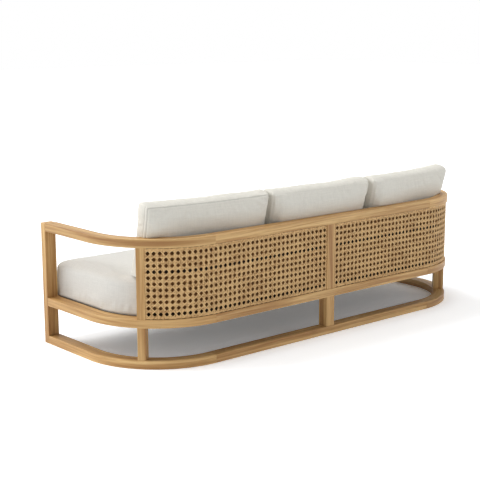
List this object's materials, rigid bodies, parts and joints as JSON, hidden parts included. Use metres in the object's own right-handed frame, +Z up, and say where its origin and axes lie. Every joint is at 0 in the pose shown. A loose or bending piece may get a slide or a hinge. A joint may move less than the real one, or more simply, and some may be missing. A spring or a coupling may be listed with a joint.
{
  "type": "garden sofa",
  "caption": "Three-seat garden sofa with a rounded solid wood frame, curved woven cane back panels and loose pale fabric seat and back cushions.",
  "frame": {"origin": "on the floor, under the middle of the sofa's length and depth", "axes": "+Z up, +X along the length towards the sitter's left arm, -Y towards the front of the seat"},
  "size_m": [2.3, 0.808, 0.7469],
  "materials": {
    "wood": "oiled satin",
    "cane": "natural woven cane",
    "seat_fabric": "woven matte",
    "back_fabric": "woven matte"
  },
  "bodies": {
    "frame": {"base_rail_left": "wood", "base_rail_back": "wood", "base_rail_right": "wood", "seat_rail_left": "wood", "seat_rail_back": "wood", "seat_rail_right": "wood", "top_rail_left": "wood", "top_rail_back": "wood", "top_rail_right": "wood", "lower_corner_post_left": "wood", "lower_corner_post_right": "wood", "lower_centre_post": "wood", "upper_corner_post_left": "wood", "upper_corner_post_right": "wood", "upper_centre_post": "wood", "front_post_left": "wood", "front_post_right": "wood", "front_apron": "wood", "front_leg": "wood", "lower_back_board_left": "wood", "lower_back_board_right": "wood", "upper_back_board_left": "wood", "upper_back_board_right": "wood", "arm_ledger_left": "wood", "arm_ledger_right": "wood", "back_ledger": "wood", "front_ledger": "wood", "seat_bearer_left": "wood", "seat_bearer_centre": "wood", "seat_bearer_right": "wood", "seat_slat_1": "wood", "seat_slat_2": "wood", "seat_slat_3": "wood", "seat_slat_4": "wood", "seat_slat_5": "wood", "seat_slat_6": "wood", "seat_slat_7": "wood", "seat_slat_8": "wood", "seat_slat_9": "wood", "seat_slat_10": "wood", "seat_slat_11": "wood", "seat_slat_12": "wood", "seat_slat_13": "wood", "seat_slat_14": "wood", "cane_panel_left": "cane", "cane_panel_right": "cane"},
    "seat_cushion_left": {"seat_cushion_left": "seat_fabric"},
    "seat_cushion_middle": {"seat_cushion_middle": "seat_fabric"},
    "seat_cushion_right": {"seat_cushion_right": "seat_fabric"},
    "back_cushion_left": {"back_cushion_left": "back_fabric"},
    "back_cushion_middle": {"back_cushion_middle": "back_fabric"},
    "back_cushion_right": {"back_cushion_right": "back_fabric"}
  },
  "joints": [
    {"name": "seat_cushion_left_slide", "type": "slide", "parent": "frame", "child": "seat_cushion_left", "axis": [0, -1, 0], "range_m": [0, 0.8]},
    {"name": "seat_cushion_middle_slide", "type": "slide", "parent": "frame", "child": "seat_cushion_middle", "axis": [0, -1, 0], "range_m": [0, 0.8]},
    {"name": "seat_cushion_right_slide", "type": "slide", "parent": "frame", "child": "seat_cushion_right", "axis": [0, -1, 0], "range_m": [0, 0.8]},
    {"name": "back_cushion_left_slide", "type": "slide", "parent": "frame", "child": "back_cushion_left", "axis": [0, 0, 1], "range_m": [0, 0.4]},
    {"name": "back_cushion_middle_slide", "type": "slide", "parent": "frame", "child": "back_cushion_middle", "axis": [0, 0, 1], "range_m": [0, 0.4]},
    {"name": "back_cushion_right_slide", "type": "slide", "parent": "frame", "child": "back_cushion_right", "axis": [0, 0, 1], "range_m": [0, 0.4]}
  ]
}
